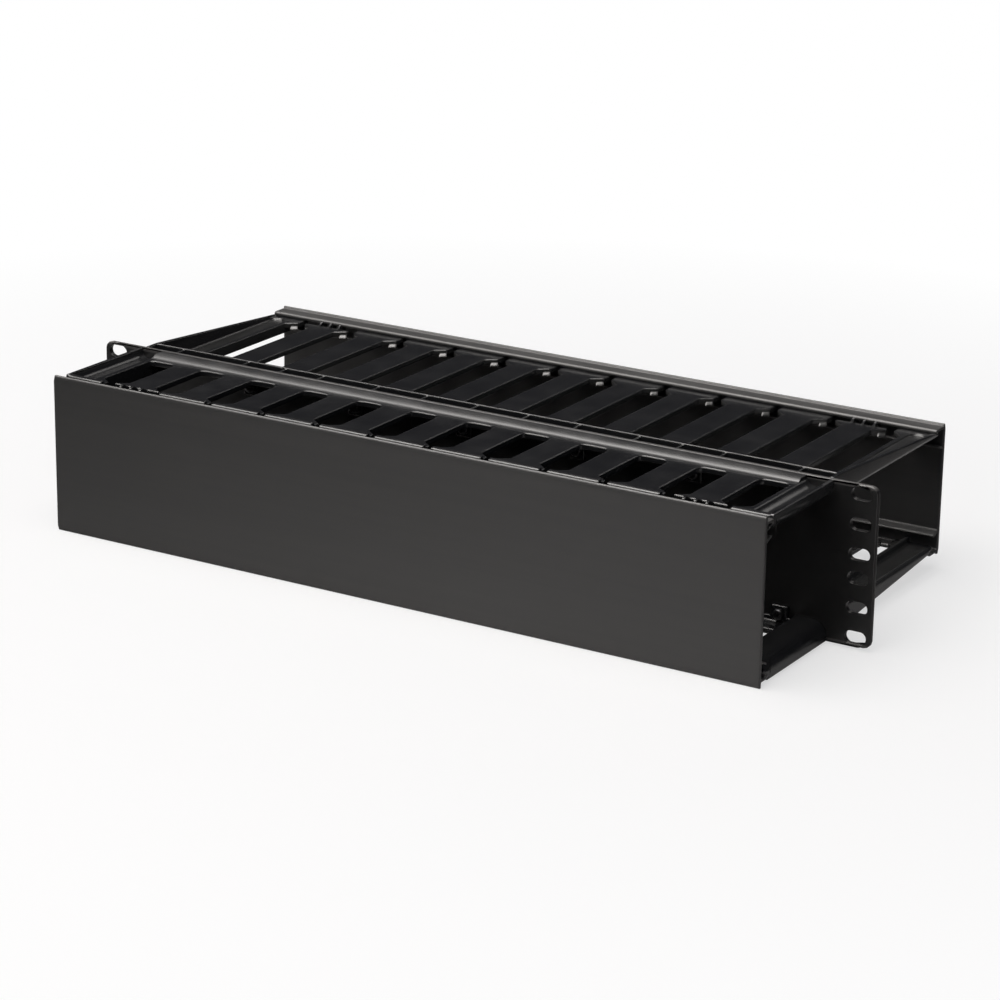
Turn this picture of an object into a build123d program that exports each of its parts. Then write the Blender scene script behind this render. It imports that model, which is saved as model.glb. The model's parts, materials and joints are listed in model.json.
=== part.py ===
"""Two-sided horizontal cable manager for a 19 inch rack, two rack units high.

Frame: X to the right seen from the front, Y from front to rear, Z up. The
origin is the middle of the mounting plate's rear face, which is the face
that seats on the rack rails. All sizes are millimetres. Small repeated
rounds are drawn with a few straight steps, to keep the facets few.
"""

from build123d import *
from math import cos, radians, sin, tan
import os

# Rack standard
RACK_WIDTH = 482.6
RACK_HOLE_INSET = 8.73
RACK_UNIT = 44.45
RACK_UNITS = 2
RACK_HOLE_STEP = 15.875

# Mounting plate
PLATE_T = 3.0
PLATE_SHORTER = 2.9
EAR_RADIUS = 4.0
EAR_W = 24.3
EAR_SLOT_L = 12.0
EAR_SLOT_W = 6.8

# Finger rows
SLOT_COUNT = 12
SLOT_W = 17.4
RAIL_W = 17.45
SLOT_END_R = 3.6
SLOT_GAP = 4.8
ROUND_STEPS = 3
SLOT_END_STEPS = 2
SMALL_ROUND_SIDES = 8
SHOULDER_L = 4.8
SLAB_T = 3.0
WALL_T = 2.2

# Front row, as distances in front of the plate
FRONT_PLANE_DROP = 2.0
STRIP_D = 6.5
STRIP_INSET = 15.3
BAND_D = 4.0
FRONT_SLOT_START = 12.6
FRONT_SLOT_STRAIGHT = 55.0
FLANGE_T = 3.0
FLANGE_H = 8.5
FLANGE_FILLET = 3.0
RAIL_H = 10.8
RAIL_CORNER_R = 8.5
TROUGH_D = 5.0
TROUGH_R = 3.4
STEP_RUN = 4.0
CORE_D = 40.0
CORE_H = 1.9
CORE_W = 6.0

# Rear row, as distances behind the plate
REAR_PLANE_DROP = 9.6
REAR_INSET = 1.9
CHANNEL_D = 8.0
CHANNEL_WALL_T = 1.8
CHANNEL_FILLET = 5.0
LADDER_T = 1.4
LADDER_DROP = 0.5
LADDER_PLACES = (0.147, 0.291, 0.458, 0.575, 0.691, 0.897)
REAR_SLOT_START = 21.0
REAR_SLOT_STRAIGHT = 114.0
REAR_RAIL_R = 3.0
REAR_RAIL_LOW = 0.3
REAR_TROUGH_D = 1.0
REAR_TROUGH_GAP = 2.6
REAR_POCKET_R = 4.6
REAR_POCKET_STEPS = 2
REAR_POCKET_BACK = 5.6
REAR_EDGE_T = 2.0
REAR_EDGE_H = 3.0

# Hinge beads on the covers and the cups at the finger tips
BEAD_R = 1.25
FRONT_BEAD_SINK = 0.7
REAR_CUP_ANGLE = 40.0
CUP_GAP = 0.3
CUP_STEPS = 2
CUP_FLOOR_RUN = 2.4
CUP_FLOOR_T = 1.35
RIM_L = 3.3
RIM_BACK_H = 1.8
RIM_FRONT_H = 1.2
RIM_SPARE = 0.35

# Claws on the second finger from each end
CLAW_COUNT = 3
CLAW_PITCH = 6.5
CLAW_T = 1.6
CLAW_RUN = 3.5
REAR_CLAW_H = 2.0

# Covers
COVER_OVERHANG = 0.8
COVER_T = 2.2
COVER_RISE = 3.45
FRONT_COVER_FACE = 76.6
REAR_COVER_FACE = 137.6
FRONT_LIP_RUN = 5.8
REAR_LIP_RUN = 8.45
COVER_LIP_T = 1.4
COVER_LEAN_H = 3.0
COVER_LEAN = 0.9
RIB_DROP = 9.3
RIB_L = 5.3
RIB_T = 1.1
RIB_TILT = 1.5
RIB_GAP = 0.5
BARB = 0.5
BARB_L = 0.9
COVER_SWING = 25.0

# Screws that clamp a front row, the plate and a rear row together
SCREW_STEPS = (-5.5, -4, -2, 0, 2, 4, 5.5)
SCREW_DROP = 10.0
SCREW_R = 1.75
SCREW_HEAD_R = 3.1
SCREW_HEAD_T = 2.2
SCREW_CLEARANCE = 0.25
SCREW_BITE = 7.0
SCREW_PILOT_SPARE = 0.6
TAB_R = 4.6
BOSS_R = 3.4

# Worked out from the sizes above
RACK_HOLE_SPAN = RACK_WIDTH - 2 * RACK_HOLE_INSET
PLATE_H = RACK_UNITS * RACK_UNIT - PLATE_SHORTER
PLATE_TOP = PLATE_H / 2
DUCT_W = RACK_WIDTH - 2 * EAR_W
FRONT_PLANE = PLATE_TOP - FRONT_PLANE_DROP
REAR_PLANE = PLATE_TOP - REAR_PLANE_DROP
DUCT_HALF = DUCT_W / 2
SLOTS_HALF = DUCT_HALF - RAIL_W
SLOT_PITCH = (2 * SLOTS_HALF - SLOT_W) / (SLOT_COUNT - 1)
SLOT_X = [SLOT_PITCH * (n - (SLOT_COUNT - 1) / 2) for n in range(SLOT_COUNT)]
STRIP_HALF_W = DUCT_HALF - STRIP_INSET
BORE_R = BEAD_R + CUP_GAP
FRONT_BEAD = (FRONT_COVER_FACE - COVER_T - FRONT_LIP_RUN, FRONT_PLANE - FRONT_BEAD_SINK)
REAR_BEAD = (REAR_COVER_FACE - COVER_T - REAR_LIP_RUN, REAR_PLANE + BORE_R * sin(radians(REAR_CUP_ANGLE)))
CLAW_FINGER_X = SLOT_PITCH * (SLOT_COUNT / 2 - 1)
REAR_HALF = DUCT_HALF - REAR_INSET
FRONT_COVER_W = DUCT_W + 2 * COVER_OVERHANG
REAR_COVER_W = 2 * REAR_HALF
SCREW_Z = PLATE_TOP - SCREW_DROP
SCREW_XS = [SLOT_PITCH * n for n in SCREW_STEPS]


def outward(profile, width):
    """Extrude a profile drawn in (distance, height) to both sides along X."""
    return extrude(Plane.YZ * profile, amount=width / 2, both=True)


def along_y(profile, start, length):
    """Extrude a profile drawn in (x, height) from Y = start towards +Y."""
    face = Plane.XZ.offset(-start) * profile
    return extrude(face, amount=-length)


def both_sides(solid):
    """The solid with its mirror image in the middle plane X = 0."""
    return solid + mirror(solid, Plane.YZ)


def on_circle(centre, radius, angle):
    """A point on a circle, its angle in degrees."""
    a = radians(angle)
    return (centre[0] + radius * cos(a), centre[1] + radius * sin(a))


def stepped(centre, radius, first, last, steps=ROUND_STEPS):
    """Points along an arc, both ends included, angles in degrees."""
    return [on_circle(centre, radius, first + (last - first) * n / steps) for n in range(steps + 1)]


def closed_face(points):
    """Face inside a closed outline of points."""
    return make_face(Polyline(*points, points[0]))


def stepped_rectangle(width, height, radius, steps=ROUND_STEPS):
    """Rectangle with rounded corners of a few steps each."""
    x = width / 2 - radius
    y = height / 2 - radius
    corners = [(x, y, 0), (-x, y, 90), (-x, -y, 180), (x, -y, 270)]
    return closed_face([
        point for cx, cy, a in corners for point in stepped((cx, cy), radius, a, a + 90, steps)
    ])


def bore_points(bead, first):
    """Bore of a cup from the angle first, and its floor up to the tip."""
    floor = (bead[0] + CUP_FLOOR_RUN, bead[1] - BORE_R)
    return [*stepped(bead, BORE_R, first, 270, CUP_STEPS), floor]


def front_bore():
    """Points of a front cup, from its rim's corner down to the tip."""
    corner = (FRONT_BEAD[0] - BORE_R - RIM_SPARE, FRONT_PLANE + RIM_FRONT_H)
    return [corner, *bore_points(FRONT_BEAD, 180)]


def rear_bore():
    """Points of a rear cup, from the finger's top down to the tip."""
    return bore_points(REAR_BEAD, 180 + REAR_CUP_ANGLE)


def front_cup():
    """Outline of a front finger's raised rim and cup."""
    bore = front_bore()
    start = bore[0][0] - RIM_L
    return [(start, FRONT_PLANE), (start + 0.5, FRONT_PLANE + RIM_BACK_H), *bore]


def finger_section(root, plane, cup):
    """Section of a row: slab and open cup, closed by its root.

    root is the list of points of the row's root, from the slab's top at the
    plate side round to the slab's underside.
    """
    return closed_face([*cup, tip_underside(plane, cup), *reversed(root)])


def tip_underside(plane, cup):
    """Lower corner of a finger's tip, with enough left under the cup."""
    return (cup[-1][0], min(plane - SLAB_T, cup[-1][1] - CUP_FLOOR_T))


def front_root():
    """Root of the front row: strip on the plate, sloped band, flange."""
    top = PLATE_TOP
    under = FRONT_PLANE - SLAB_T
    low = top - FLANGE_H
    return [
        (STRIP_D + BAND_D, FRONT_PLANE),
        (STRIP_D + BAND_D * 0.45, top - FRONT_PLANE_DROP * 0.72),
        (STRIP_D, top),
        (0, top),
        (0, low),
        (FLANGE_T, low),
        (FLANGE_T, under - 0.4 * FLANGE_FILLET),
        (FLANGE_T + FLANGE_FILLET, under),
    ]


def rear_root():
    """Root of the rear row: channel against the plate and its far wall."""
    wall = CHANNEL_D + CHANNEL_WALL_T
    under = REAR_PLANE - SLAB_T
    bend = (wall + CHANNEL_FILLET, REAR_PLANE + CHANNEL_FILLET)
    return [
        *stepped(bend, CHANNEL_FILLET, 270, 180),
        *channel_rim(),
        (CHANNEL_D, REAR_PLANE),
        (0, REAR_PLANE),
        (0, under),
    ]


def channel_rim():
    """Softened top edge of the channel's wall."""
    wall = CHANNEL_D + CHANNEL_WALL_T
    return [
        (wall, PLATE_TOP - 0.5),
        (wall - 0.5, PLATE_TOP),
        (CHANNEL_D, PLATE_TOP),
    ]


def slot_outline(start, straight, end):
    """Slot in plan: rounded at the plate, shoulders, then a narrow gap."""
    half = SLOT_W / 2
    gap = SLOT_GAP / 2
    r = SLOT_END_R
    right = [
        *stepped((half - r, start + r), r, 270, 360, SLOT_END_STEPS),
        (half, straight),
        (gap, straight + SHOULDER_L),
        (gap, end),
    ]
    return closed_face([*right, *[(-x, y) for x, y in reversed(right)]])


def slots(start, straight, end, plane):
    """Cutting solids of all the slots of one row."""
    outline = slot_outline(start, straight, end)
    tall = 4 * SLAB_T
    cutter = extrude(Plane.XY.offset(plane - tall / 2) * outline, amount=tall)
    return [Pos(X=x) * cutter for x in SLOT_X]


def front_claw_peak():
    """Highest point of a front claw, on the rim."""
    return (front_cup()[1][0], FRONT_PLANE + RIM_BACK_H)


def rear_claw_peak():
    """Highest point of a rear claw, just inside the cover's bead."""
    return (REAR_BEAD[0] - BORE_R - 2 * RIM_SPARE, REAR_PLANE + REAR_CLAW_H)


def claw_gaps(plane, peak):
    """Cuts that leave thin claws at the tips of two of the fingers."""
    inner = peak[0] - CLAW_RUN
    length = 4 * CLAW_RUN
    spread = SLOT_PITCH - SLOT_GAP + 0.4
    block = Pos(Y=inner + length / 2, Z=plane) * Box(spread, length, 4 * SLAB_T)
    for n in range(CLAW_COUNT):
        x = CLAW_PITCH * (n - (CLAW_COUNT - 1) / 2)
        block -= Pos(X=x, Y=inner + length / 2, Z=plane) * Box(CLAW_T, length, 5 * SLAB_T)
    return [Pos(X=side * CLAW_FINGER_X) * block for side in (-1, 1)]


def claw_slopes(plane, peak):
    """Sloping inner edges that make each claw pointed."""
    low = plane - 0.2
    wedge = closed_face([(peak[0] - CLAW_RUN, low), peak, (peak[0] + 0.3, low)])
    one = outward(wedge, CLAW_T)
    found = []
    for side in (-1, 1):
        for n in range(CLAW_COUNT):
            x = side * CLAW_FINGER_X + CLAW_PITCH * (n - (CLAW_COUNT - 1) / 2)
            found.append(Pos(X=x) * one)
    return found


def bead_room(bore):
    """Space over the end rails that the cover's bead and lip swing through."""
    high = PLATE_TOP + COVER_T
    far = bore[-1][0] + RIM_L
    lean = (high - bore[0][1]) * tan(radians(COVER_SWING))
    room = closed_face([(bore[0][0] - lean, high), *bore, (far, bore[-1][1]), (far, high)])
    return outward(room, 2 * DUCT_W)


def front_rail():
    """Rounded end rail of the front row, its trough open to the top."""
    top = PLATE_TOP
    low = top - RAIL_H
    out = DUCT_HALF
    wall = out - WALL_T
    floor = top - TROUGH_D
    inner = SLOTS_HALF
    step = STRIP_HALF_W + 0.9
    corner = (out - RAIL_CORNER_R, low + RAIL_CORNER_R)
    bowl = stepped((wall - TROUGH_R, floor + TROUGH_R), TROUGH_R, 0, -90)
    foot = [
        (step + STEP_RUN, floor),
        (step + 0.36 * STEP_RUN, floor + 0.36 * (FRONT_PLANE - floor)),
        (step, FRONT_PLANE),
    ]
    inside = [(inner, low), (inner, FRONT_PLANE), *reversed(foot), *reversed(bowl)]
    edges = [
        *Polyline((corner[0], low), *inside, (wall, top), (out, top), (out, corner[1])).edges(),
        ThreePointArc((out, corner[1]), on_circle(corner, RAIL_CORNER_R, -45), (corner[0], low)),
    ]
    length = FRONT_COVER_FACE - COVER_T - RIB_L - RIB_GAP
    rail = along_y(make_face(Wire(edges)), 0, length)
    core_x = corner[0] - 0.5
    core = Pos(core_x, length - CORE_D / 2, low + 1.5 + CORE_H / 2) * Box(CORE_W, CORE_D, CORE_H)
    return rail - core


def rear_rail():
    """End rail of the rear row: a shallow trough and a wall that tapers."""
    low = REAR_PLANE - SLAB_T
    out = REAR_HALF
    inner = SLOTS_HALF
    end = REAR_BEAD[0] + CUP_FLOOR_RUN
    edge = inner + REAR_EDGE_T
    section = closed_face([
        (inner, low - REAR_EDGE_H), (inner, REAR_PLANE),
        (out - WALL_T, REAR_PLANE), (out - WALL_T, PLATE_TOP), (out, PLATE_TOP),
        *stepped((out - REAR_RAIL_R, low + REAR_RAIL_R), REAR_RAIL_R, 0, -90),
        (edge, low), (edge, low - REAR_EDGE_H),
    ])
    rail = along_y(section, 0, end)
    high = PLATE_TOP + 1
    start = CHANNEL_D + CHANNEL_WALL_T
    taper = REAR_PLANE + REAR_RAIL_LOW
    slope = closed_face([(start, PLATE_TOP), (start, high), (end + 1, high), (end + 1, taper)])
    rail -= Pos(X=out) * outward(slope, 4 * WALL_T)
    width = out - WALL_T - inner - REAR_TROUGH_GAP
    middle = inner + REAR_TROUGH_GAP + width / 2
    run = REAR_BEAD[0] - REAR_POCKET_BACK - start - CHANNEL_FILLET
    outline = stepped_rectangle(width, run, REAR_POCKET_R, REAR_POCKET_STEPS)
    outline = Pos(middle, start + CHANNEL_FILLET + run / 2) * outline
    return rail - extrude(Plane.XY.offset(REAR_PLANE - REAR_TROUGH_D) * outline, amount=2 * REAR_TROUGH_D)


def front_row():
    """Front upper finger row, distances measured away from the plate."""
    row = outward(finger_section(front_root(), FRONT_PLANE, front_cup()), 2 * SLOTS_HALF)
    root = closed_face([*front_root(), (STRIP_D + BAND_D, FRONT_PLANE - SLAB_T)])
    row += outward(root, 2 * STRIP_HALF_W)
    row += both_sides(front_rail())
    row += rail_tips()
    row -= bead_room(front_bore())
    for x in SCREW_XS:
        row += screw_tab(x)
    for cut in slots(FRONT_SLOT_START, FRONT_SLOT_STRAIGHT, FRONT_COVER_FACE, FRONT_PLANE):
        row -= cut
    for cut in claw_gaps(FRONT_PLANE, front_claw_peak()):
        row -= cut
    for wedge in claw_slopes(FRONT_PLANE, front_claw_peak()):
        row += wedge
    for x in SCREW_XS:
        row -= screw_bore(x, -1, FLANGE_T + 2, SCREW_R + SCREW_CLEARANCE)
    return row


def rear_row():
    """Rear upper finger row, distances measured away from the plate."""
    row = outward(finger_section(rear_root(), REAR_PLANE, rear_bore()), 2 * SLOTS_HALF)
    wall = CHANNEL_D + CHANNEL_WALL_T
    low = REAR_PLANE - SLAB_T
    row += outward(closed_face([(wall, low), *channel_rim(), (CHANNEL_D, low)]), 2 * REAR_HALF - WALL_T)
    row += both_sides(rear_rail())
    row -= bead_room(rear_bore())
    height = PLATE_TOP - LADDER_DROP - REAR_PLANE
    rib = Pos(Y=CHANNEL_D / 2, Z=REAR_PLANE + height / 2) * Box(LADDER_T, CHANNEL_D, height)
    for place in (0, *LADDER_PLACES, *[-place for place in LADDER_PLACES]):
        row += Pos(X=place * DUCT_HALF) * rib
    for x in SCREW_XS:
        row += screw_bore(x, 0, CHANNEL_D + CHANNEL_WALL_T, BOSS_R)
    for cut in slots(REAR_SLOT_START, REAR_SLOT_STRAIGHT, REAR_COVER_FACE, REAR_PLANE):
        row -= cut
    for cut in claw_gaps(REAR_PLANE, rear_claw_peak()):
        row -= cut
    for wedge in claw_slopes(REAR_PLANE, rear_claw_peak()):
        row += wedge
    for x in SCREW_XS:
        row -= screw_bore(x, -1, 1 + SCREW_BITE + SCREW_PILOT_SPARE, SCREW_R)
    return row


def rail_tips():
    """Rim and cup of the front row carried on across the two end rails."""
    cup = front_cup()
    face = closed_face([*cup, tip_underside(FRONT_PLANE, cup), (cup[0][0], FRONT_PLANE - SLAB_T)])
    width = DUCT_HALF - SLOTS_HALF
    return both_sides(Pos(X=SLOTS_HALF + width / 2) * outward(face, width))


def screw_tab(x):
    """Tab of the front row's flange that takes a screw."""
    low = SCREW_Z - TAB_R
    high = PLATE_TOP - FLANGE_H + 1
    return along_y(Pos(x, (low + high) / 2) * Rectangle(2 * TAB_R, high - low), 0, FLANGE_T)


def screw_bore(x, start, length, radius):
    """A small round bar or bore along Y on a screw's axis."""
    return along_y(Pos(x, SCREW_Z) * RegularPolygon(radius, SMALL_ROUND_SIDES), start, length)


def mounting_plate():
    """Flat plate with rack ears and screw holes."""
    outline = stepped_rectangle(RACK_WIDTH, PLATE_H, EAR_RADIUS)
    slot = SlotOverall(EAR_SLOT_L, EAR_SLOT_W)
    near = (RACK_UNIT - 2 * RACK_HOLE_STEP) / 2
    heights = [near, RACK_UNIT / 2, RACK_UNIT - near]
    for side in (-1, 1):
        for z in (*heights, *[-z for z in heights]):
            outline -= Pos(side * RACK_HOLE_SPAN / 2, z) * slot
    for x in SCREW_XS:
        for z in (-SCREW_Z, SCREW_Z):
            outline -= Pos(x, z) * RegularPolygon(SCREW_R + SCREW_CLEARANCE, SMALL_ROUND_SIDES)
    return along_y(outline, -PLATE_T, PLATE_T)


def cover_section(plane, face, bead):
    """Section of a clip-on cover: ridges, hinge lips and inner ribs."""
    inside = face - COVER_T
    top = plane + COVER_RISE
    lip_top = bead[1] + BEAD_R
    under = lip_top - COVER_LIP_T
    half = [
        (face, top - COVER_LEAN_H), (face - COVER_LEAN, top), (inside, top), (inside, lip_top),
        (bead[0], lip_top), (bead[0], under), (inside - 0.8, under), (inside, under - 0.8),
    ]
    panel = closed_face([*half, *[(x, -z) for x, z in reversed(half)]])
    low = plane - RIB_DROP
    high = low + RIB_TILT
    end = inside - RIB_L
    rib = closed_face([
        (inside + 0.1, low), (end + BARB_L, high), (end + BARB_L / 2, high + BARB), (end, high - BARB),
        (end + BARB_L, high - RIB_T), (inside + 0.1, low - RIB_T),
    ])
    for part in (Pos(*bead) * Circle(BEAD_R), rib):
        panel += part + mirror(part, Plane.XZ)
    return panel


def screw():
    """Pan-head thread-forming screw along +Y, its head's seat at Y = 0."""
    shank = FLANGE_T + PLATE_T + SCREW_BITE
    head = along_y(RegularPolygon(SCREW_HEAD_R, SMALL_ROUND_SIDES), -SCREW_HEAD_T, SCREW_HEAD_T)
    return head + along_y(RegularPolygon(SCREW_R, SMALL_ROUND_SIDES), 0, shank)


def to_front(row):
    """Turn a row drawn away from the plate to the front side."""
    return mirror(row, Plane.XZ)


def main():
    pieces = {"mounting_plate": mounting_plate()}
    front = Pos(Y=-PLATE_T) * to_front(front_row())
    rear = rear_row()
    pieces["front_upper_finger_row"] = front
    pieces["front_lower_finger_row"] = mirror(front, Plane.XY)
    pieces["rear_upper_finger_row"] = rear
    pieces["rear_lower_finger_row"] = mirror(rear, Plane.XY)
    front = outward(cover_section(FRONT_PLANE, FRONT_COVER_FACE, FRONT_BEAD), FRONT_COVER_W)
    pieces["front_cover"] = Pos(Y=-PLATE_T) * to_front(front)
    pieces["rear_cover"] = outward(cover_section(REAR_PLANE, REAR_COVER_FACE, REAR_BEAD), REAR_COVER_W)
    fastener = screw()
    for row, z in (("upper", SCREW_Z), ("lower", -SCREW_Z)):
        for n, x in enumerate(sorted(SCREW_XS), start=1):
            pieces[f"{row}_row_screw_{n}"] = Pos(x, -PLATE_T - FLANGE_T, z) * fastener
    os.makedirs("parts", exist_ok=True)
    for name, shape in pieces.items():
        export_step(shape, f"parts/{name}.step")


main()
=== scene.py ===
"""Looks, camera and light for the two-sided rack cable manager.

Everything is in metres in the part's frame: X to the right seen from the front,
Y from front to rear, Z up, the origin on the mounting plate's rear face.
"""

import json
from math import cos, pi, radians, sin

import bmesh
import bpy
from mathutils import Matrix, Vector


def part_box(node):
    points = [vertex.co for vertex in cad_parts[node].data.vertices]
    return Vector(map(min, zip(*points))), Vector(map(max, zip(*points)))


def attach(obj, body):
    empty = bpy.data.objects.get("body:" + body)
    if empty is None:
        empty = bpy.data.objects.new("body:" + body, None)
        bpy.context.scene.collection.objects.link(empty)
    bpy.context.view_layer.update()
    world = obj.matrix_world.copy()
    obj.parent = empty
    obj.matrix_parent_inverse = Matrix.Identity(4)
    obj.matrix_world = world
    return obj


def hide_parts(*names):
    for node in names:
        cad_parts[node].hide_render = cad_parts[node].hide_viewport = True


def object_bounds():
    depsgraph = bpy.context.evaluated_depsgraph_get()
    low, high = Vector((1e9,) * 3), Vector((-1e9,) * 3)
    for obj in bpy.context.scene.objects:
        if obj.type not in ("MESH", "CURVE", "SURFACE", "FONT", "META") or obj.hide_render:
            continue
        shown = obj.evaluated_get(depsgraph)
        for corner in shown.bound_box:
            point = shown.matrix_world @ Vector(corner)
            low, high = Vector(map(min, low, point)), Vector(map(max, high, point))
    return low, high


MM = 0.001

# Camera, as fitted to the photograph
EYE = Vector((0.89410, -1.44803, 0.55311))
FORWARD = Vector((-0.49080, 0.81299, -0.31329))
RIGHT = Vector((0.85342, 0.52100, 0.01505))
FOCAL_PX = 3332.1
FRAME_PX = 1000
SENSOR_MM = 36.0

# Softened edges of the mouldings, the plate and the covers
ROW_EDGE = 0.32 * MM
ROW_ROUND = 1.35 * MM
STRIP_ROUND = 0.5 * MM
# Where the moulding is coloured lighter as painted fill light: inside the rear duct, between the two
# rear finger planes
PAINTED_FILL_ZONE_Z = (0.0, 33.1 * MM)
PAINTED_FILL_ZONE_Y = (4 * MM, 125 * MM)
STRIP_ZONE_Z = (41.15 * MM, 60 * MM)
STRIP_ZONE_Y = (-13.5 * MM, -3.2 * MM)
PLATE_EDGE = 0.6 * MM
PLATE_ROUND = 1.3 * MM
# The plate's top rim: rounder, a little rougher, and coloured lighter there as a painted highlight
PLATE_RIM_Z = (41.2 * MM, 60 * MM)
SLOT_EDGE_SHARE = 0.08
EAR_SLOTS_X = (225 * MM, 239.5 * MM)
EAR_SLOTS_Z = 41.0 * MM
COVER_EDGE = 0.35 * MM
COVER_ROUND = 1.5 * MM
LIP_ZONE_Z = (34.2 * MM, 60 * MM)
LIP_ZONE_Y = (120 * MM, 200 * MM)
SCREW_EDGE = 0.08 * MM
EDGE_STEPS = 3
SCREW_EDGE_STEPS = 2
ROUND_SAMPLES = 6
NORMAL_WEIGHT = 90
ZONE_SOFT_Z = 0.1 * MM
SHARP_DEG = 50.0
FLAT_DEG = 0.5
WELD = 0.002 * MM

# Colours of each finish, darkest first, and how the plastics bend light
MOULDING_SKIN = ((0.0095, 0.0098, 0.0110), (0.0150, 0.0154, 0.0168))
# Lighter moulding colours for inside the rear duct: painted fill light
MOULDING_PAINTED_FILL = ((0.026, 0.026, 0.0255), (0.036, 0.036, 0.0355))
PLATE_SKIN = ((0.0065, 0.0065, 0.0067), (0.011, 0.011, 0.0112))
# Lighter colour for the plate's top rim: a painted highlight
PLATE_RIM_HIGHLIGHT = ((0.04, 0.038, 0.037), (0.07, 0.067, 0.065))
COVER_SKIN = ((0.029, 0.029, 0.0295), (0.040, 0.0395, 0.0385))
SCREW_SKIN = ((0.030, 0.030, 0.032), (0.085, 0.085, 0.088))
COATING_IOR = 1.5
COVER_IOR = 1.48

# Pan-head screws, the dome in shares of the head's radius and height
DOME = ((0.30, 1.0), (0.55, 0.97), (0.76, 0.88), (0.91, 0.70), (0.985, 0.45), (1.0, 0.2), (1.0, 0.0))
HEAD_RISE = 2.2 * MM
SHANK_R = 1.75 * MM
TIP_L = 1.6 * MM
TIP_SHARE = 0.45
RECESS_R = 1.7 * MM
RECESS_DEEP = 1.3 * MM
RECESS_WIDE = 0.62 * MM
RECESS_TAPER_ALONG = 0.55
RECESS_TAPER_ACROSS = 0.8
ROUND_SIDES = 40

# Ramps at the necks of the rear slots
SLOT_COUNT = 12
SLOT_PITCH = 34.7 * MM
REAR_PLANE = 33.4 * MM
SHOULDER_FROM = Vector((-8.7, 114.0, 0)) * MM
SHOULDER_TO = Vector((-2.4, 118.8, 0)) * MM
RAMP_TOP = (4.0 * MM, 7.8 * MM, -0.1 * MM, -1.5 * MM)
RAMP_FOOT = (3.0 * MM, 7.8 * MM, 1.9 * MM, -4.0 * MM)

# Stage and light
FLOOR_SIZE = 12.0
FLOOR_DROP = 0.2 * MM
FLOOR_ROUGH = 0.9
PAPER = (0.9, 0.885, 0.87)
# Painted shade on the floor: where its colour for light and reflections darkens, in the right-back
# corner, to the left and to the front
CORNER_X = (0.2, 0.3)
CORNER_Y = (-0.14, 0.02)
LEFT_X = (-0.45, 0.05)
BACK_Y = (0.0, 0.15)
FRONT_Y = (-0.4, -0.12)
CLEAR_REACH = (0.3, 0.75)
WORLD_GLOSS = (0.025, 0.025, 0.028)
WORLD_SOFT = (0.20, 0.205, 0.225)
CLEAR_WHITE = 0.6
LAMP_COLOUR = (1.0, 0.965, 0.935)

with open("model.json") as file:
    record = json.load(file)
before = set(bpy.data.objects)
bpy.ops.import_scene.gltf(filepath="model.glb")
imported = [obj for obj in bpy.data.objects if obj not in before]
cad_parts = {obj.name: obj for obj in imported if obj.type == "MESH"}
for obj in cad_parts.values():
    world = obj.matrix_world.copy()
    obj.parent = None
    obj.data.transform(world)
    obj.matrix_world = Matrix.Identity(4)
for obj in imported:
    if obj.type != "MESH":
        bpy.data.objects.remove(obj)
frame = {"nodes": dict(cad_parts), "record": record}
cad_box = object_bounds()
record = frame["record"]


def material(name):
    """A new node material with its principled shader."""
    made = bpy.data.materials.new(name)
    made.use_nodes = True
    tree = made.node_tree
    return made, tree, tree.nodes["Principled BSDF"]


def link(tree, out, into):
    """A link from one socket into another."""
    tree.links.new(out, into)


def place(tree, scale=(1, 1, 1)):
    """Object coordinates in metres, stretched by scale."""
    coords = tree.nodes.new("ShaderNodeTexCoord")
    mapping = tree.nodes.new("ShaderNodeMapping")
    mapping.inputs["Scale"].default_value = scale
    link(tree, coords.outputs["Object"], mapping.inputs["Vector"])
    return mapping.outputs["Vector"]


def noise(tree, where, scale, detail=3.0, rough=0.5):
    """Noise with so many cells a metre."""
    made = tree.nodes.new("ShaderNodeTexNoise")
    made.inputs["Scale"].default_value = scale
    made.inputs["Detail"].default_value = detail
    made.inputs["Roughness"].default_value = rough
    link(tree, where, made.inputs["Vector"])
    return made.outputs["Fac"]


def spread(tree, value, low, high, from_low=0.3, from_high=0.7):
    """A value carried to the range from low to high."""
    made = tree.nodes.new("ShaderNodeMapRange")
    made.inputs["From Min"].default_value = from_low
    made.inputs["From Max"].default_value = from_high
    made.inputs["To Min"].default_value = low
    made.inputs["To Max"].default_value = high
    link(tree, value, made.inputs["Value"])
    return made.outputs["Result"]


def tint(tree, value, first, second):
    """Colour that goes from first to second with a value."""
    made = tree.nodes.new("ShaderNodeMix")
    made.data_type = "RGBA"
    made.inputs["A"].default_value = (*first, 1)
    made.inputs["B"].default_value = (*second, 1)
    link(tree, value, made.inputs["Factor"])
    return made.outputs["Result"]


def blend_colours(tree, value, first, second):
    """Colour between two node colours."""
    made = tree.nodes.new("ShaderNodeMix")
    made.data_type = "RGBA"
    link(tree, value, made.inputs["Factor"])
    link(tree, first, made.inputs["A"])
    link(tree, second, made.inputs["B"])
    return made.outputs["Result"]


def bump(tree, shader, height, strength, distance, under=None):
    """Bump on a shader's normal, over another bump if one is given."""
    made = tree.nodes.new("ShaderNodeBump")
    made.inputs["Strength"].default_value = strength
    made.inputs["Distance"].default_value = distance
    link(tree, height, made.inputs["Height"])
    if under:
        link(tree, under, made.inputs["Normal"])
    link(tree, made.outputs["Normal"], shader.inputs["Normal"])
    return made.outputs["Normal"]


def rounded(tree, radius):
    """Normal that turns softly over each edge, its radius fixed or from a node."""
    made = tree.nodes.new("ShaderNodeBevel")
    made.samples = ROUND_SAMPLES
    if isinstance(radius, float):
        made.inputs["Radius"].default_value = radius
    else:
        link(tree, radius, made.inputs["Radius"])
    return made.outputs["Normal"]


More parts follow.
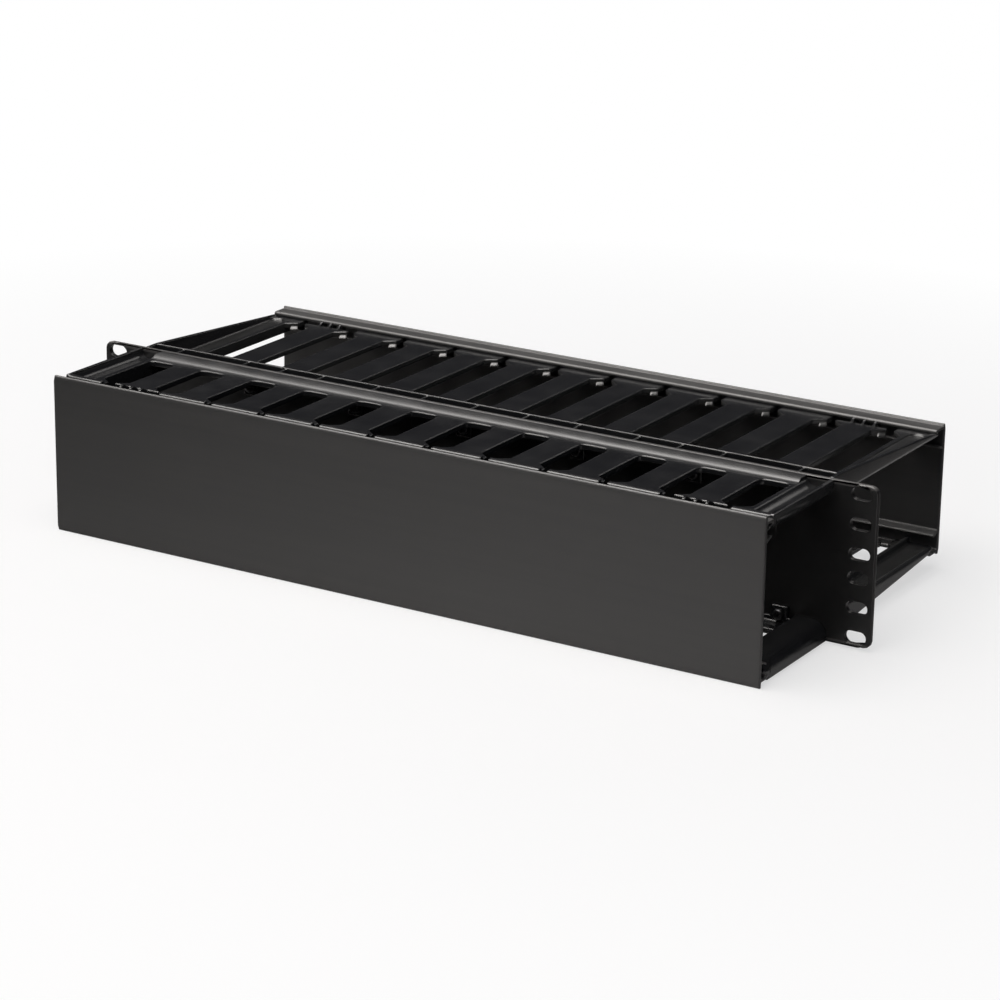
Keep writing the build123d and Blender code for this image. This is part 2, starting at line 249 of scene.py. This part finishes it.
def zone(tree, axis, first, last, soft):
    """1 where an object coordinate, for Z without its sign, lies in a range, else 0."""
    parts = tree.nodes.new("ShaderNodeSeparateXYZ")
    link(tree, place(tree), parts.inputs["Vector"])
    size = tree.nodes.new("ShaderNodeMath")
    size.operation = "ABSOLUTE" if axis == "Z" else "ADD"
    size.inputs[1].default_value = 0
    link(tree, parts.outputs[axis], size.inputs[0])
    up = spread(tree, size.outputs["Value"], 0, 1, first - soft, first)
    down = spread(tree, size.outputs["Value"], 1, 0, last, last + soft)
    return combine(tree, up, down, "MULTIPLY")


def combine(tree, first, second, how):
    """Two values joined by a sum, a product or the like."""
    made = tree.nodes.new("ShaderNodeMath")
    made.operation = how
    link(tree, first, made.inputs[0])
    link(tree, second, made.inputs[1])
    return made.outputs["Value"]


def patch(tree, heights, depths, soft):
    """1 inside a range of heights and one of depths, else 0."""
    high = zone(tree, "Z", *heights, ZONE_SOFT_Z)
    return combine(tree, high, zone(tree, "Y", *depths, soft), "MULTIPLY")


def moulding_plastic():
    """Glossy black moulding: faint flow marks, a very fine grain, and a lighter colour inside the rear
    duct, which is painted fill light.
    """
    made, tree, shader = material("duct_plastic")
    where = place(tree)
    clouds = noise(tree, where, 55, 4)
    grain = noise(tree, where, 1800, 2)
    flow = noise(tree, place(tree, (90, 14, 90)), 1.0, 3)
    # Painted fill light: inside the rear duct, between the finger planes, the moulding is coloured
    # lighter
    painted_fill = patch(tree, PAINTED_FILL_ZONE_Z, PAINTED_FILL_ZONE_Y, 1 * MM)
    skin = tint(tree, clouds, *MOULDING_SKIN)
    painted_fill_skin = tint(tree, clouds, *MOULDING_PAINTED_FILL)
    link(tree, blend_colours(tree, painted_fill, skin, painted_fill_skin), shader.inputs["Base Color"])
    strip = patch(tree, STRIP_ZONE_Z, STRIP_ZONE_Y, 0.3 * MM)
    matt = combine(tree, strip, spread(tree, grain, 0.14, 0.2), "MULTIPLY")
    link(tree, combine(tree, spread(tree, clouds, 0.17, 0.27), matt, "ADD"), shader.inputs["Roughness"])
    shader.inputs["IOR"].default_value = COATING_IOR
    radius = spread(tree, strip, ROW_ROUND, STRIP_ROUND, 0, 1)
    first = bump(tree, shader, flow, 0.10, 0.05 * MM, rounded(tree, radius))
    bump(tree, shader, grain, 0.10, 0.01 * MM, first)
    return made


def powder_coat():
    """Black powder coat with a light orange peel; its top rim is coloured lighter, a painted highlight.
    """
    made, tree, shader = material("plate_coating")
    where = place(tree)
    clouds = noise(tree, where, 35, 3)
    peel = noise(tree, where, 900, 2)
    top = zone(tree, "Z", *PLATE_RIM_Z, 0.2 * MM)
    skin = tint(tree, clouds, *PLATE_SKIN)
    # Painted highlight: the plate's top rim coloured lighter
    painted_rim_highlight = tint(tree, peel, *PLATE_RIM_HIGHLIGHT)
    link(tree, blend_colours(tree, top, skin, painted_rim_highlight), shader.inputs["Base Color"])
    rough = combine(tree, spread(tree, peel, 0.30, 0.42), spread(tree, top, 0, 0.1, 0, 1), "ADD")
    link(tree, rough, shader.inputs["Roughness"])
    shader.inputs["IOR"].default_value = COATING_IOR
    rim = tree.nodes.new("ShaderNodeMix")
    rim.data_type = "VECTOR"
    link(tree, top, rim.inputs["Factor"])
    link(tree, tree.nodes.new("ShaderNodeNewGeometry").outputs["Normal"], rim.inputs["A"])
    link(tree, rounded(tree, PLATE_ROUND), rim.inputs["B"])
    bump(tree, shader, peel, 0.16, 0.02 * MM, rim.outputs["Result"])
    return made


def cover_plastic():
    """Charcoal satin extrusion with faint draw lines along its length."""
    made, tree, shader = material("cover_plastic")
    lines = noise(tree, place(tree, (5, 260, 260)), 1.0, 5, 0.6)
    fine = noise(tree, place(tree, (30, 1500, 1500)), 1.0, 3)
    clouds = noise(tree, place(tree), 16, 3)
    specks = noise(tree, place(tree), 420, 2)
    link(tree, tint(tree, lines, *COVER_SKIN), shader.inputs["Base Color"])
    uneven = combine(tree, spread(tree, lines, 0.0, 0.08), spread(tree, clouds, 0.36, 0.42), "ADD")
    lip = patch(tree, LIP_ZONE_Z, LIP_ZONE_Y, 1 * MM)
    sheen = combine(tree, lip, spread(tree, clouds, 0.04, 0.07), "MULTIPLY")
    link(tree, combine(tree, uneven, sheen, "ADD"), shader.inputs["Roughness"])
    shader.inputs["IOR"].default_value = COVER_IOR
    first = bump(tree, shader, fine, 0.10, 0.02 * MM, rounded(tree, COVER_ROUND))
    second = bump(tree, shader, lines, 0.12, 0.08 * MM, first)
    bump(tree, shader, specks, 0.05, 0.02 * MM, second)
    return made


def screw_zinc():
    """Black zinc on steel, a little worn."""
    made, tree, shader = material("screw_steel")
    where = place(tree)
    wear = noise(tree, where, 700, 4, 0.6)
    link(tree, tint(tree, wear, *SCREW_SKIN), shader.inputs["Base Color"])
    link(tree, spread(tree, wear, 0.26, 0.42), shader.inputs["Roughness"])
    shader.inputs["Metallic"].default_value = 1.0
    bump(tree, shader, wear, 0.10, 0.02 * MM)
    return made


FINISH = {
    "duct_plastic": moulding_plastic(),
    "plate_coating": powder_coat(),
    "cover_plastic": cover_plastic(),
    "screw_steel": screw_zinc(),
}
SLOT_OF = {part["node"]: part["material_slot"] for part in record["subparts"]}
BODY_OF = {node: body for body, nodes in record["behaviour"]["bodies"].items() for node in nodes}


def add_object(name, data):
    """A new object in the scene."""
    made = bpy.data.objects.new(name, data)
    bpy.context.collection.objects.link(made)
    return made


def mesh_from(shape, name):
    """A mesh from a bmesh, which is freed."""
    mesh = bpy.data.meshes.new(name)
    shape.to_mesh(mesh)
    shape.free()
    return mesh


def add_piece(name, mesh, node):
    """A finished piece that rides with a CAD node's body."""
    piece = add_object(name, mesh)
    mesh.materials.clear()
    mesh.materials.append(FINISH[SLOT_OF[node]])
    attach(piece, BODY_OF[node])
    return piece


def clean_copy(node):
    """A copy of a CAD node's mesh with its flat faces whole again."""
    mesh = frame["nodes"][node].data.copy()
    shape = bmesh.new()
    shape.from_mesh(mesh)
    bmesh.ops.remove_doubles(shape, verts=shape.verts, dist=WELD)
    flat = radians(FLAT_DEG)
    bmesh.ops.dissolve_limit(shape, angle_limit=flat, verts=shape.verts, edges=shape.edges)
    for face in shape.faces:
        face.smooth = True
    share = shape.edges.layers.float.new("bevel_weight_edge")
    for edge in shape.edges:
        sharp = len(edge.link_faces) == 2 and edge.calc_face_angle() > radians(SHARP_DEG)
        middle = (edge.verts[0].co + edge.verts[1].co) / 2
        in_ear = EAR_SLOTS_X[0] < abs(middle.x) < EAR_SLOTS_X[1]
        in_ear = in_ear and abs(middle.z) < EAR_SLOTS_Z
        edge[share] = (SLOT_EDGE_SHARE if in_ear else 1.0) if sharp else 0.0
    shape.to_mesh(mesh)
    shape.free()
    mesh.name = node + "_finished"
    return mesh


def softened(node, edge):
    """The node's finished copy with rounded edges that catch the light."""
    piece = add_piece(node + "_finished", clean_copy(node), node)
    bevel = piece.modifiers.new("edges", "BEVEL")
    bevel.width = edge
    bevel.segments = EDGE_STEPS
    bevel.limit_method = "WEIGHT"
    bevel.use_clamp_overlap = False
    bevel.miter_outer = "MITER_ARC"
    normals = piece.modifiers.new("normals", "WEIGHTED_NORMAL")
    normals.mode = "FACE_AREA_WITH_ANGLE"
    normals.weight = NORMAL_WEIGHT
    normals.keep_sharp = False
    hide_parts(node)


def aim(obj, target):
    """Turns a light so that it shines at a point."""
    obj.rotation_euler = (Vector(target) - obj.location).to_track_quat("-Z", "Y").to_euler()


def add_camera():
    """The photograph's camera."""
    data = bpy.data.cameras.new("camera")
    data.sensor_width = SENSOR_MM
    data.lens = FOCAL_PX / FRAME_PX * SENSOR_MM
    camera = add_object("camera", data)
    up = RIGHT.cross(FORWARD)
    turn = Matrix((RIGHT, up, -FORWARD)).transposed().to_4x4()
    camera.matrix_world = Matrix.Translation(EYE) @ turn
    bpy.context.scene.camera = camera


def add_light(name, size, radiance, spot, target, gloss_only=False):
    """A warm softbox; gloss_only shows it in reflections alone."""
    data = bpy.data.lights.new(name, "AREA")
    data.shape = "RECTANGLE"
    data.size, data.size_y = size
    data.energy = radiance * pi * size[0] * size[1]
    data.color = LAMP_COLOUR
    light = add_object(name, data)
    light.location = spot
    aim(light, target)
    light.visible_diffuse = not gloss_only


def for_camera(tree, shaded, seen, into):
    """One shader where the camera looks straight at it, else another."""
    path = tree.nodes.new("ShaderNodeLightPath")
    mix = tree.nodes.new("ShaderNodeMixShader")
    link(tree, path.outputs["Is Camera Ray"], mix.inputs["Fac"])
    link(tree, shaded, mix.inputs[1])
    link(tree, seen, mix.inputs[2])
    link(tree, mix.outputs["Shader"], into)


def white(tree):
    """Plain white, as written."""
    made = tree.nodes.new("ShaderNodeEmission")
    made.inputs["Color"].default_value = (1, 1, 1, 1)
    made.inputs["Strength"].default_value = 1.0
    return made.outputs["Emission"]


def floor_paper():
    """White paper, clear with a faint shadow to the camera.

    Its colour for light and reflections is darker at the left front and in the right-back corner:
    painted shade, standing in for dark surroundings there.
    """
    made, tree, shader = material("floor_white")
    where = tree.nodes.new("ShaderNodeNewGeometry").outputs["Position"]
    along = tree.nodes.new("ShaderNodeSeparateXYZ")
    link(tree, where, along.inputs["Vector"])
    across, back = along.outputs["X"], along.outputs["Y"]
    # Painted shade: the paper's colour for light and reflections darkened by position
    right = spread(tree, across, 0, 0.94, *CORNER_X)
    corner = combine(tree, right, spread(tree, back, 0, 1, *CORNER_Y), "MULTIPLY")
    beside = spread(tree, across, 0.06, 1, *LEFT_X)
    left = combine(tree, beside, spread(tree, back, 0, 0.8, *BACK_Y), "MAXIMUM")
    shade = combine(tree, left, spread(tree, back, 0.7, 1, *FRONT_Y), "MULTIPLY")
    light = combine(tree, shade, spread(tree, corner, 1, 0, 0, 1), "MULTIPLY")
    link(tree, tint(tree, light, (0, 0, 0), PAPER), shader.inputs["Base Color"])
    shader.inputs["Roughness"].default_value = FLOOR_ROUGH
    paper = tree.nodes.new("ShaderNodeBsdfDiffuse")
    paper.inputs["Color"].default_value = (1, 1, 1, 1)
    reach = tree.nodes.new("ShaderNodeVectorMath")
    reach.operation = "LENGTH"
    link(tree, where, reach.inputs[0])
    clear = tree.nodes.new("ShaderNodeMixShader")
    far = spread(tree, reach.outputs["Value"], CLEAR_WHITE, 1, *CLEAR_REACH)
    link(tree, far, clear.inputs["Fac"])
    link(tree, paper.outputs["BSDF"], clear.inputs[1])
    link(tree, white(tree), clear.inputs[2])
    into = tree.nodes["Material Output"].inputs["Surface"]
    for_camera(tree, shader.outputs["BSDF"], clear.outputs["Shader"], into)
    return made


def add_stage():
    """Plain white floor and surroundings."""
    level = cad_box[0][2] - FLOOR_DROP
    bpy.ops.mesh.primitive_plane_add(size=FLOOR_SIZE, location=(0, 0, level))
    floor = bpy.context.object
    floor.name = "floor"
    floor.data.materials.append(floor_paper())
    world = bpy.data.worlds.new("studio")
    world.use_nodes = True
    bpy.context.scene.world = world
    tree = world.node_tree
    back = tree.nodes["Background"]
    path = tree.nodes.new("ShaderNodeLightPath")
    soft = tint(tree, path.outputs["Is Diffuse Ray"], WORLD_GLOSS, WORLD_SOFT)
    link(tree, soft, back.inputs["Color"])
    seen = tree.nodes.new("ShaderNodeBackground")
    seen.inputs["Color"].default_value = (1, 1, 1, 1)
    into = tree.nodes["World Output"].inputs["Surface"]
    for_camera(tree, back.outputs["Background"], seen.outputs["Background"], into)


def lathe(name, profile, spot):
    """A turned solid along Y from pairs of radius and distance."""
    shape = bmesh.new()
    rings = []
    for radius, rise in profile:
        ring = []
        for n in range(ROUND_SIDES):
            turn = 2 * pi * n / ROUND_SIDES
            ring.append(shape.verts.new((radius * cos(turn), rise, radius * sin(turn))))
        rings.append(ring)
    for low, high in zip(rings, rings[1:]):
        for n in range(ROUND_SIDES):
            following = (n + 1) % ROUND_SIDES
            shape.faces.new((low[n], low[following], high[following], high[n]))
    shape.faces.new(list(reversed(rings[0])))
    shape.faces.new(rings[-1])
    bmesh.ops.recalc_face_normals(shape, faces=shape.faces)
    bmesh.ops.translate(shape, verts=shape.verts, vec=spot)
    return mesh_from(shape, name)


def recess_cutter(node, across, along, top):
    """One arm of a cross recess, narrower at its floor."""
    shape = bmesh.new()
    bmesh.ops.create_cube(shape, size=2)
    bmesh.ops.scale(shape, verts=shape.verts, vec=(across, RECESS_DEEP, along))
    for vert in shape.verts:
        if vert.co.y > 0:
            vert.co.x *= RECESS_TAPER_ALONG if across > along else RECESS_TAPER_ACROSS
            vert.co.z *= RECESS_TAPER_ALONG if along > across else RECESS_TAPER_ACROSS
    bmesh.ops.translate(shape, verts=shape.verts, vec=top)
    return add_object(node + "_recess", mesh_from(shape, node + "_recess"))


def pan_screw(node):
    """Pan head with a cross recess on a shank with a short tip."""
    low, high = (Vector(corner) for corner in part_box(node))
    seat = Vector(((low.x + high.x) / 2, low.y + HEAD_RISE, (low.z + high.z) / 2))
    end = high.y - seat.y
    rim = min(high.x - low.x, high.z - low.z) / 2
    profile = [(share * rim, -rise * HEAD_RISE) for share, rise in DOME]
    profile += [(SHANK_R, 0), (SHANK_R, end - TIP_L), (TIP_SHARE * SHANK_R, end)]
    mesh = lathe(node + "_finished", profile, seat)
    piece = add_piece(node + "_finished", mesh, node)
    cutters = []
    for across, along in ((RECESS_R, RECESS_WIDE / 2), (RECESS_WIDE / 2, RECESS_R)):
        cutter = recess_cutter(node, across, along, seat - Vector((0, HEAD_RISE, 0)))
        cut = piece.modifiers.new("recess", "BOOLEAN")
        cut.operation = "DIFFERENCE"
        cut.object = cutter
        cutters.append(cutter)
    bpy.context.view_layer.update()
    seen = piece.evaluated_get(bpy.context.evaluated_depsgraph_get())
    cut_mesh = bpy.data.meshes.new_from_object(seen)
    piece.modifiers.clear()
    piece.data = cut_mesh
    for cutter in cutters:
        bpy.data.objects.remove(cutter)
    for face in cut_mesh.polygons:
        face.use_smooth = True
    bevel = piece.modifiers.new("edges", "BEVEL")
    bevel.width = SCREW_EDGE
    bevel.segments = SCREW_EDGE_STEPS
    bevel.limit_method = "ANGLE"
    bevel.angle_limit = radians(SHARP_DEG)
    piece.modifiers.new("normals", "WEIGHTED_NORMAL").keep_sharp = False
    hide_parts(node)


def neck_ramps(node, up):
    """Small ramps under the left shoulder of every slot of a rear row."""
    shape = bmesh.new()
    along = (SHOULDER_TO - SHOULDER_FROM).normalized()
    into = Vector((along.y, -along.x, 0))
    under = (*RAMP_FOOT[:2], RAMP_TOP[2], RAMP_FOOT[3])
    for n in range(SLOT_COUNT):
        middle = SLOT_PITCH * (n - (SLOT_COUNT - 1) / 2)
        corners = []
        for first, last, out, high in (RAMP_TOP, RAMP_FOOT, under):
            for run in (first, last):
                spot = SHOULDER_FROM + along * run + into * out
                place_at = (middle + spot.x, spot.y, up * (REAR_PLANE + high))
                corners.append(shape.verts.new(place_at))
        a, b, c, d, e, f = corners
        for face in ((a, b, d, c), (c, d, f, e), (e, f, b, a), (a, c, e), (b, f, d)):
            shape.faces.new(face)
    bmesh.ops.recalc_face_normals(shape, faces=shape.faces)
    name = node + "_neck_ramps"
    add_piece(name, mesh_from(shape, name), node)


add_camera()
add_stage()
add_light("key_above", (1.8, 1.8), 2.9, (-0.3, -0.5, 1.6), (0, -0.05, 0))
add_light("edge_glow", (2.2, 1.9), 10.0, (-0.4, -0.3, 1.55), (0, -0.05, 0), True)
add_light("edge_behind", (0.9, 0.3), 3.0, (0.25, 1.6, 1.25), (0, 0.05, 0), True)

for node in frame["nodes"]:
    if node.endswith("_row"):
        softened(node, ROW_EDGE)
    elif node.endswith("_cover"):
        softened(node, COVER_EDGE)
    elif node == "mounting_plate":
        softened(node, PLATE_EDGE)
    else:
        pan_screw(node)

neck_ramps("rear_upper_finger_row", 1)
neck_ramps("rear_lower_finger_row", -1)

bpy.context.scene.view_settings.view_transform = "Standard"
